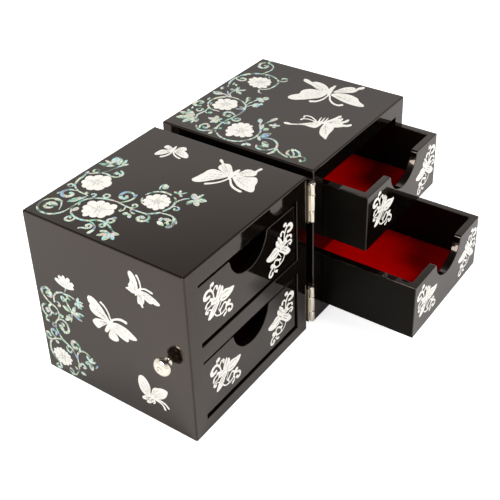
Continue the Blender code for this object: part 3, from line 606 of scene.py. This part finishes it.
def felt_height(top, x, y, edge):
    """The felt's height at a place, from the lining's top and the distance to its nearest edge."""
    turned = max(0.0, 1 - edge / FELT_EDGE)
    wave = math.sin(FELT_WAVES[0] * x + FELT_STARTS[0]) * math.cos(FELT_WAVES[1] * y + FELT_STARTS[1])
    wave += math.sin(FELT_WAVES[2] * x + FELT_WAVES[3] * y)
    return top - FELT_ROOM - FELT_DROP * turned ** 2 + FELT_WAVE * wave * (1 - turned)


def felt(drawer):
    """The lining: a laid sheet of short felt, its edges turned down a little and its face not quite flat."""
    low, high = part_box(f"{drawer}_drawer_lining")
    across, along = FELT_CELLS
    bm = bmesh.new()
    grid = []
    for j in range(along + 1):
        y = low.y + (high.y - low.y) * j / along
        grid.append([])
        for i in range(across + 1):
            x = low.x + (high.x - low.x) * i / across
            edge = min(x - low.x, high.x - x, y - low.y, high.y - y)
            grid[-1].append(bm.verts.new((x, y, felt_height(high.z, x, y, edge))))
    for j in range(along):
        for i in range(across):
            bm.faces.new((grid[j][i], grid[j][i + 1], grid[j + 1][i + 1], grid[j + 1][i]))
    rim = [grid[0][i] for i in range(across)] + [grid[j][across] for j in range(along)]
    rim += [grid[along][across - i] for i in range(across)] + [grid[along - j][0] for j in range(along)]
    under = [bm.verts.new((v.co.x, v.co.y, low.z)) for v in rim]
    for k in range(len(rim)):
        after = (k + 1) % len(rim)
        bm.faces.new((rim[k], under[k], under[after], rim[after]))
    bm.faces.new(under)
    piece = new_object(f"{drawer}_drawer_felt", bm)
    for polygon in piece.data.polygons:
        polygon.use_smooth = True
    piece.data.set_sharp_from_angle(angle=FELT_SHARP_ANGLE)
    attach(piece, f"{drawer}_drawer")
    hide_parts(f"{drawer}_drawer_lining")
    return piece


# Inlay

class Face:
    """A flat face that takes inlay: its corner, its directions across and down, and its size."""

    def __init__(self, corner, across, down, out, size):
        self.corner = Vector(corner)
        self.across = Vector(across)
        self.down = Vector(down)
        self.out = Vector(out)
        self.size = size

    def place(self, u, w):
        return Vector((self.size[0] * u / WHOLE_SHARE, self.size[1] * w / WHOLE_SHARE))

    def width(self, share):
        return self.size[0] * share / WHOLE_SHARE


class Spray(Face):
    """A square that is turned, scaled and maybe mirrored about a place on a face."""

    def __init__(self, face, u, w, turn, scale, mirror):
        super().__init__(face.corner, face.across, face.down, face.out, (SPRAY_SIDE, SPRAY_SIDE))
        self.middle = face.place(u, w)
        self.turn = math.radians(turn)
        self.scale = scale
        self.mirror = mirror

    def place(self, u, w):
        x = u * math.cos(self.turn) - w * math.sin(self.turn)
        y = u * math.sin(self.turn) + w * math.cos(self.turn)
        return self.middle + super().place(x * self.mirror, y) * self.scale

    def width(self, share):
        return super().width(share) * self.scale


class Inlay:
    """Thin closed pieces of one material in one face, each a little higher than the one before."""

    def __init__(self, face, height, step):
        self.face = face
        self.bm = bmesh.new()
        self.height = height
        self.step = step

    def vert(self, place, height):
        face = self.face
        on_face = face.corner + face.across * place.x + face.down * place.y
        return self.bm.verts.new(on_face + face.out * height)

    def rise(self):
        self.height += self.step
        return self.height

    def strip(self, middles, widths):
        """A ribbon with round ends. It climbs a hair along its length, so that it can cross itself."""
        height = self.rise()
        rings = []
        for place, side, half in ribbon_sections(middles, widths):
            height += STRIP_CLIMB
            left = place + side * half
            right = place - side * half
            rings.append((
                self.vert(left, height), self.vert(right, height),
                self.vert(right, INLAY_FOOT), self.vert(left, INLAY_FOOT),
            ))
        join_rings(self.bm, rings)

    def plate(self, outline):
        height = self.rise()
        top = [self.vert(place, height) for place in outline]
        foot = [self.vert(place, INLAY_FOOT) for place in outline]
        flats = [self.bm.faces.new(top), self.bm.faces.new(foot[::-1])]
        for flat in flats:
            flat.normal_update()
        for k in range(len(top)):
            after = (k + 1) % len(top)
            self.bm.faces.new((top[after], top[k], foot[k], foot[after]))
        bmesh.ops.triangulate(self.bm, faces=flats, ngon_method="EAR_CLIP")


def curve(points, closed, steps):
    """Points along the smooth curve through some points."""
    out = []
    count = len(points)
    for k in range(count if closed else count - 1):
        second = points[k]
        third = points[(k + 1) % count]
        first = points[k - 1] if closed or k > 0 else 2 * second - third
        fourth = points[(k + 2) % count] if closed or k + 2 < count else 2 * third - second
        for i in range(steps):
            s = i / steps
            out.append(0.5 * (
                2 * second + (third - first) * s + (2 * first - 5 * second + 4 * third - fourth) * s ** 2
                + (3 * second - first - 3 * third + fourth) * s ** 3))
    if not closed:
        out.append(points[-1])
    return out


def ribbon_sections(middles, widths):
    """Places, sideways directions and half widths along a ribbon, with its round ends."""
    sections = []
    last = len(middles) - 1
    for k, place in enumerate(middles):
        ahead = (middles[min(k + 1, last)] - middles[max(k - 1, 0)]).normalized()
        sections.append((place, ahead, max(widths[k], THINNEST) / 2))
    ends = (sections[0], -1), (sections[-1], 1)
    for angle in CAP_ANGLES:
        for (place, ahead, half), sign in ends:
            cap = (place + ahead * sign * half * math.sin(angle), ahead, half * math.cos(angle))
            sections.insert(0 if sign < 0 else len(sections), cap)
    return [(place, Vector((-ahead.y, ahead.x)), half) for place, ahead, half in sections]


def tapered(widths, count):
    """Widths along a ribbon, smooth through its first, middle and last."""
    first, middle, last = widths
    out = []
    for k in range(count):
        s = k / (count - 1)
        out.append(first * (1 - s) * (1 - 2 * s) + 4 * middle * s * (1 - s) + last * s * (2 * s - 1))
    return out


def pairs(values):
    return [values[k:k + 2] for k in range(0, len(values), 2)]


def circle(count):
    return [2 * math.pi * k / count for k in range(count)]


def draw_stem(inlay, face, stem):
    middles = curve([face.place(*pair) for pair in pairs(stem[3:])], False, STEM_STEPS)
    inlay.strip(middles, tapered([face.width(k) for k in stem[:3]], len(middles)))


def draw_coil(inlay, face, coil):
    u, w, first, last, start, end, width = coil
    count = max(COIL_LEAST_STEPS, int(abs(end - start) / COIL_DEGREES))
    middles = []
    for k in range(count + 1):
        radius = first + (last - first) * k / count
        angle = math.radians(start + (end - start) * k / count)
        middles.append(face.place(u + radius * math.cos(angle), w + radius * math.sin(angle)))
    inlay.strip(middles, [face.width(width)] * len(middles))


def draw_leaf(inlay, face, leaf):
    foot = face.place(*leaf[:2])
    tip = face.place(*leaf[2:4])
    along = tip - foot
    side = Vector((-along.y, along.x)).normalized() * face.width(leaf[4]) / 2
    right = [foot + along * s - side * k for s, k in LEAF_OUTLINE_SHARES]
    left = [foot + along * s + side * k for s, k in LEAF_OUTLINE_SHARES[::-1]]
    inlay.plate(curve([foot] + right + [tip] + left, True, LEAF_STEPS))


def draw_drop(inlay, face, drop):
    u, w, half_u, half_w = drop
    inlay.plate([face.place(u + half_u * math.cos(a), w + half_w * math.sin(a)) for a in circle(DROP_SIDES)])


def draw_flower(shell, cuts, face, flower):
    """A blossom from its petals' directions and reaches, with cuts between petals and stamens."""
    u, w = flower[:2]
    petals = pairs(flower[2:])
    last = len(petals) - 1
    mean = sum(reach for angle, reach in petals) / len(petals)

    def spot(degrees, reach):
        angle = math.radians(degrees)
        return face.place(u + reach * math.cos(angle), w + reach * math.sin(angle))

    outline = []
    line = face.width(CUT_SHARE)
    for k, (angle, reach) in enumerate(petals):
        before, before_reach = petals[k - 1]
        after, after_reach = petals[k + 1 if k < last else 0]
        start = (angle + before - (360 if k == 0 else 0)) / 2
        end = (angle + after + (360 if k == last else 0)) / 2
        first = min(before_reach, reach) * NOTCH_SHARE
        second = min(after_reach, reach) * NOTCH_SHARE
        for i in range(PETAL_STEPS):
            s = i / PETAL_STEPS
            notch = first * (1 - s) + second * s
            bulge = (reach - notch) * math.sin(math.pi * s) ** PETAL_FULLNESS
            outline.append(spot(start + (end - start) * s, notch + bulge))
        if k % 2 == 0:
            cut_line = [spot(start, first * share) for share in PETAL_CUT_SHARES]
            cuts.strip(cut_line, [line * share for share in PETAL_CUT_WIDTH_SHARES])
    shell.plate(outline)
    for k in range(STAMENS):
        degrees = 360 * k / STAMENS + STAMEN_TURN * (k % 2)
        reach = mean * (STAMEN_TIP_SHARE + STAMEN_LONGER_SHARE * (k % 3))
        dot = spot(degrees, reach)
        stamen = [spot(degrees, mean * STAMEN_FOOT_SHARE), dot]
        cuts.strip(stamen, [line * share for share in STAMEN_WIDTH_SHARES])
        cuts.plate([dot + Vector((math.cos(a), math.sin(a))) * line * DOT_SHARE for a in circle(DOT_SIDES)])


def draw_wing(shell, cuts, face, wing):
    """A wing with broken veins from its root, or a plain one where there are no cuts."""
    outline = curve([face.place(*pair) for pair in pairs(wing)], True, WING_STEPS)
    shell.plate(outline)
    if cuts is None:
        return
    root = outline[0]
    widths = [face.width(CUT_SHARE) * share for share in VEIN_WIDTH_SHARES]
    for k, share in enumerate(VEIN_SHARES):
        reach = outline[int(share * len(outline))] - root
        bow = Vector((-reach.y, reach.x)) * VEIN_BOW_SHARE * (share - 0.5)
        shift = STROKE_SHIFT_SHARE if k % 2 else 0.0
        for stroke in STROKE_SHARES:
            ends = [end + shift for end in stroke]
            cuts.strip([root + reach * s + bow * math.sin(math.pi * s) for s in ends], widths)


def inlay_group(name, face, groups, body):
    """Draws one face's inlay: coloured shell under white shell, cuts in the white, and gaps in sprays."""
    coloured = Inlay(face, COLOURED_HEIGHT, HEIGHT_STEP)
    white = Inlay(face, WHITE_HEIGHT, HEIGHT_STEP)
    cuts = Inlay(face, CUT_HEIGHT, CUT_STEP)
    gaps = Inlay(face, CUT_HEIGHT, CUT_STEP)
    for spot, tables in groups:
        in_spray = "gaps" in tables
        under = white if in_spray else coloured
        jobs = (
            ("stems", draw_stem, (under,)), ("coils", draw_coil, (under,)), ("leaves", draw_leaf, (under,)),
            ("drops", draw_drop, (under,)), ("flowers", draw_flower, (white, cuts)),
            ("wings", draw_wing, (white, None if in_spray else cuts)), ("ribs", draw_stem, (white,)),
            ("gaps", draw_stem, (gaps,)),
        )
        for kind, draw, inlays in jobs:
            for row in tables.get(kind, ()):
                draw(*inlays, spot, row)
    pieces = []
    parts = {"coloured_shell": coloured, "white_shell": white, "engraving": cuts, "gaps": gaps}
    for part, inlay in parts.items():
        if not inlay.bm.faces:
            inlay.bm.free()
            continue
        piece = new_object(f"{name}_{part}", inlay.bm)
        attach(piece, body)
        pieces.append((part, piece))
    return pieces


def all_inlay():
    pieces = []
    for side, tables in (("left", LEFT_TOP_SHARES), ("right", RIGHT_TOP_SHARES)):
        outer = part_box(f"{side}_outer_side")
        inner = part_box(f"{side}_hinge_side")
        low_x = min(outer[0].x, inner[0].x)
        high_x = max(outer[1].x, inner[1].x)
        size = (high_x - low_x, outer[1].y - outer[0].y)
        top = Face((low_x, outer[1].y, outer[1].z - INLAY_ROOM), (1, 0, 0), (0, -1, 0), (0, 0, 1), size)
        pieces += inlay_group(f"{side}_top", top, [(top, tables)], f"{side}_case")
        out = 1 if side == "right" else -1
        edge = outer[1].x - INLAY_ROOM if side == "right" else outer[0].x + INLAY_ROOM
        size = (outer[1].y - outer[0].y, outer[1].z - outer[0].z)
        flank = Face((edge, outer[1].y, outer[1].z), (0, -1, 0), (0, 0, -1), (out, 0, 0), size)
        pieces += inlay_group(f"{side}_outer_side", flank, [(flank, OUTER_SIDE_SHARES)], f"{side}_case")
        for level in LEVELS:
            drawer = f"{side}_{level}"
            low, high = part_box(f"{drawer}_drawer_front")
            size = (high.x - low.x, high.z - low.z)
            front = Face((low.x, low.y + INLAY_ROOM, high.z), (1, 0, 0), (0, 0, -1), (0, -1, 0), size)
            groups = [(Spray(front, *place), SPRAY_SHARES) for place in SPRAY_PLACES_SHARES[drawer]]
            pieces += inlay_group(f"{drawer}_drawer_front", front, groups, f"{drawer}_drawer")
    return pieces


# Materials

def connect(tree, node, inputs):
    """Sets a node's inputs, each to a value or to another node's output."""
    for key, value in inputs.items():
        if isinstance(value, bpy.types.NodeSocket):
            tree.links.new(value, node.inputs[key])
        else:
            node.inputs[key].default_value = value


def add_node(tree, kind, inputs=None, **settings):
    node = tree.nodes.new(f"ShaderNode{kind}")
    for name, value in settings.items():
        setattr(node, name, value)
    connect(tree, node, inputs or {})
    return node


def noise(tree, scale, detail, roughness=0.5, distortion=0.0, stretch=None):
    """Noise over the piece's own coordinates, in metres."""
    place = add_node(tree, "TexCoord").outputs["Object"]
    if stretch:
        place = add_node(tree, "Mapping", {"Vector": place, "Scale": stretch}).outputs["Vector"]
    return add_node(tree, "TexNoise", {
        "Vector": place, "Scale": scale, "Detail": detail, "Roughness": roughness, "Distortion": distortion,
    }).outputs["Fac"]


def ramp(tree, source, *stops):
    node = add_node(tree, "ValToRGB", {"Fac": source})
    elements = node.color_ramp.elements
    while len(elements) < len(stops):
        elements.new(0.5)
    for element, (place, colour) in zip(elements, stops):
        element.position = place
        element.color = (*colour, 1.0)
    return node.outputs["Color"]


def spread(tree, source, low, high, to_low, to_high):
    return add_node(tree, "MapRange", {
        "Value": source, "From Min": low, "From Max": high, "To Min": to_low, "To Max": to_high,
    }).outputs["Result"]


def bump(tree, height, strength, distance=0.0001):
    node = add_node(tree, "Bump", {"Height": height, "Strength": strength, "Distance": distance})
    return node.outputs["Normal"]


def black_lacquer(tree):
    """Polished black lacquer: faint unevenness of the coats and slight rubbing in its gloss."""
    coats = noise(tree, 28.0, 4.0)
    rubbed = noise(tree, 160.0, 5.0, 0.6)
    return {
        "Base Color": ramp(tree, coats, (0.35, (0.0020, 0.0014, 0.0011)), (0.65, (0.0030, 0.0021, 0.0016))),
        "Roughness": spread(tree, rubbed, 0.35, 0.7, 0.030, 0.070),
        "Normal": bump(tree, noise(tree, 240.0, 2.0), 0.04),
        "IOR": 1.65,
        "Specular Tint": (1.0, 0.79, 0.65, 1.0),
    }


def satin_black(tree):
    """Thin satin coat on the drawers' boards and inside the cases, with a faint grain."""
    grain = noise(tree, 180.0, 4.0, 0.6, 0.0, (6.0, 1.0, 6.0))
    return {
        "Base Color": ramp(tree, grain, (0.35, (0.0016, 0.0013, 0.0010)), (0.65, (0.0026, 0.0021, 0.0016))),
        "Roughness": spread(tree, grain, 0.35, 0.7, 0.34, 0.42),
        "Normal": bump(tree, grain, 0.08),
        "Specular IOR Level": 0.12,
        "Specular Tint": (1.0, 0.88, 0.74, 1.0),
    }


def red_felt(tree):
    """Short red felt: slightly cloudy, rough and dull."""
    cloud = noise(tree, 55.0, 4.0, 0.6)
    return {
        "Base Color": ramp(tree, cloud, (0.3, (0.46, 0.0002, 0.0003)), (0.7, (0.58, 0.0004, 0.0006))),
        "Roughness": 0.95,
        "Normal": bump(tree, noise(tree, 1400.0, 5.0, 0.75, 1.2), 0.7, 0.0004),
        "Specular IOR Level": 0.02,
    }


def nickel_plate(tree):
    """Bright nickel plate with a warm cast, and faint rubbing."""
    cloud = noise(tree, 260.0, 4.0, 0.6)
    rubbed = noise(tree, 700.0, 5.0, 0.65)
    return {
        "Base Color": ramp(tree, cloud, (0.3, (0.89, 0.79, 0.65)), (0.7, (0.95, 0.88, 0.77))),
        "Roughness": spread(tree, rubbed, 0.3, 0.7, 0.07, 0.17),
        "Normal": bump(tree, rubbed, 0.08),
        "Metallic": 1.0,
    }


def bright_steel(tree):
    """Drawn steel with a fine grain along it, for screws, studs and pins."""
    grain = noise(tree, 500.0, 4.0, 0.6, 0.0, (1.0, 1.0, 8.0))
    return {
        "Base Color": ramp(tree, grain, (0.3, (0.50, 0.48, 0.45)), (0.7, (0.66, 0.64, 0.60))),
        "Roughness": spread(tree, grain, 0.3, 0.7, 0.2, 0.36),
        "Normal": bump(tree, grain, 0.1),
        "Metallic": 1.0,
    }


def coloured_shell(tree):
    """Abalone: small patches of silver, green, pink and blue, split by fine dark cracks."""
    place = add_node(tree, "TexCoord").outputs["Object"]
    cells = {"Vector": place, "Scale": PATCH_SCALE}
    patches = add_node(tree, "TexVoronoi", cells)
    lone = add_node(tree, "SeparateColor", {"Color": patches.outputs["Color"]})
    shift = spread(tree, lone.outputs["Red"], 0.0, 1.0, *PATCH_SHIFT)
    shifted = add_node(tree, "Math", {0: noise(tree, 50.0, 2.0, 0.5, 0.6), 1: shift}, operation="ADD")
    colour = ramp(tree, shifted.outputs["Value"], *COLOURED_SHELL_RAMP)
    cracks = add_node(tree, "TexVoronoi", cells, feature="DISTANCE_TO_EDGE")
    dark = spread(tree, cracks.outputs["Distance"], *CRACK_WIDTH, *CRACK_SHADE)
    cracked = {"Factor": 1.0, 6: colour, 7: dark}
    growth = noise(tree, 520.0, 4.0, 0.6, 1.0, (1.0, 2.5, 2.5))
    return {
        "Base Color": add_node(tree, "Mix", cracked, data_type="RGBA", blend_type="MULTIPLY").outputs[2],
        "Roughness": spread(tree, growth, 0.3, 0.7, 0.08, 0.22),
        "Normal": bump(tree, growth, 0.12),
        "IOR": 1.6,
    }


def white_shell(tree):
    """Mother-of-pearl: cream white with faint pink and green clouds and fine growth lines."""
    growth = noise(tree, 420.0, 5.0, 0.6, 1.0, (1.0, 3.0, 3.0))
    return {
        "Base Color": ramp(tree, noise(tree, 170.0, 3.0, 0.55, 0.6), *WHITE_SHELL_RAMP),
        "Roughness": spread(tree, growth, 0.3, 0.7, 0.10, 0.24),
        "Normal": bump(tree, growth, 0.10),
        "IOR": 1.53,
    }


def engraving(tree):
    """The fine cuts in the white shell, filled with thinned lacquer."""
    cloud = noise(tree, 600.0, 3.0)
    return {
        "Base Color": ramp(tree, cloud, (0.35, (0.10, 0.08, 0.06)), (0.65, (0.20, 0.17, 0.13))),
        "Roughness": spread(tree, cloud, 0.3, 0.7, 0.25, 0.45),
    }


def new_material(look):
    """A material with the name of a look and the sockets that it returns."""
    material = bpy.data.materials.new(look.__name__)
    material.use_nodes = True
    tree = material.node_tree
    connect(tree, tree.nodes["Principled BSDF"], look(tree))
    return material


# Stage

def reflected(tree, path):
    """1 where gloss or glass looks, and 0 elsewhere."""
    rays = {0: path.outputs["Is Glossy Ray"], 1: path.outputs["Is Transmission Ray"]}
    return add_node(tree, "Math", rays, operation="ADD", use_clamp=True).outputs["Value"]


def add_stage():
    bm = bmesh.new()
    bmesh.ops.create_grid(bm, x_segments=1, y_segments=1, size=FLOOR_REACH)
    floor = new_object("floor", bm)
    material = bpy.data.materials.new("pale_floor")
    material.use_nodes = True
    tree = material.node_tree
    tree.nodes.clear()
    path = add_node(tree, "LightPath")
    glossy = spread(tree, reflected(tree, path), 0.0, 1.0, 0.0, FLOOR_GLOW_REFLECTED)
    seen = spread(tree, path.outputs["Is Camera Ray"], 0.0, 1.0, 0.0, FLOOR_GLOW_SEEN)
    total = add_node(tree, "Math", {0: glossy, 1: seen}, operation="ADD")
    glow = add_node(tree, "Emission", {"Strength": total.outputs["Value"]})
    diffuse = add_node(tree, "BsdfDiffuse", {"Color": FLOOR_COLOUR})
    both = add_node(tree, "AddShader", {0: diffuse.outputs["BSDF"], 1: glow.outputs["Emission"]})
    add_node(tree, "OutputMaterial", {"Surface": both.outputs["Shader"]})
    paint(floor, material)


def add_world():
    """White to the camera, a white horizon that dims overhead to gloss, and dim light on the object."""
    world = bpy.data.worlds.new("studio")
    world.use_nodes = True
    bpy.context.scene.world = world
    tree = world.node_tree
    path = add_node(tree, "LightPath")
    place = add_node(tree, "TexCoord").outputs["Generated"]
    height = add_node(tree, "SeparateXYZ", {"Vector": place}).outputs["Z"]
    dome = ramp(tree, height, *[(z, (k, k, k)) for z, k in DOME_SHARES])
    gloss = add_node(tree, "Mix", {"Factor": reflected(tree, path), 2: WORLD_LIGHT, 3: dome})
    seen = add_node(tree, "Mix", {"Factor": path.outputs["Is Camera Ray"], 2: gloss.outputs[0], 3: 1.0})
    connect(tree, tree.nodes["Background"], {"Color": WHITE, "Strength": seen.outputs[0]})


def add_lamps():
    for name, place, size, energy, mirrored in LAMPS:
        data = bpy.data.lights.new(name, "AREA")
        data.shape = "DISK"
        data.size = size
        data.energy = energy
        lamp = bpy.data.objects.new(name, data)
        lamp.location = place
        lamp.visible_glossy = mirrored
        lamp.rotation_euler = (Vector(LAMPS_AIM) - lamp.location).to_track_quat("-Z", "Y").to_euler()
        bpy.context.scene.collection.objects.link(lamp)


def add_camera():
    data = bpy.data.cameras.new("camera")
    data.sensor_width = CAMERA_SENSOR
    data.lens = CAMERA_LENS
    data.shift_x, data.shift_y = CAMERA_SHIFT
    camera = bpy.data.objects.new("camera", data)
    camera.location = CAMERA_PLACE
    camera.rotation_euler = [math.radians(k) for k in CAMERA_TURN]
    bpy.context.scene.collection.objects.link(camera)
    bpy.context.scene.camera = camera


LOOKS = (
    black_lacquer, satin_black, red_felt, nickel_plate, bright_steel, coloured_shell, white_shell, engraving)


def main():
    add_camera()
    add_world()
    add_lamps()
    add_stage()
    looks = {look.__name__: new_material(look) for look in LOOKS}
    looks["gaps"] = looks["black_lacquer"]
    finishes = (looks["black_lacquer"], looks["satin_black"])
    for side in SIDES:
        case_skin(side, finishes)
        for level in LEVELS:
            drawer_skin(f"{side}_{level}", finishes)
            paint(felt(f"{side}_{level}"), looks["red_felt"])
        for name in (f"{side}_knob", f"upper_hinge_{side}_leaf", f"lower_hinge_{side}_leaf"):
            paint(polished(name, side), looks["nickel_plate"])
    for part, piece in all_inlay():
        paint(piece, looks[part])
    for name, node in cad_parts.items():
        if name.endswith(STEEL_ENDINGS):
            paint(node, looks["bright_steel"])
    bpy.context.scene.view_settings.view_transform = "Standard"


main()
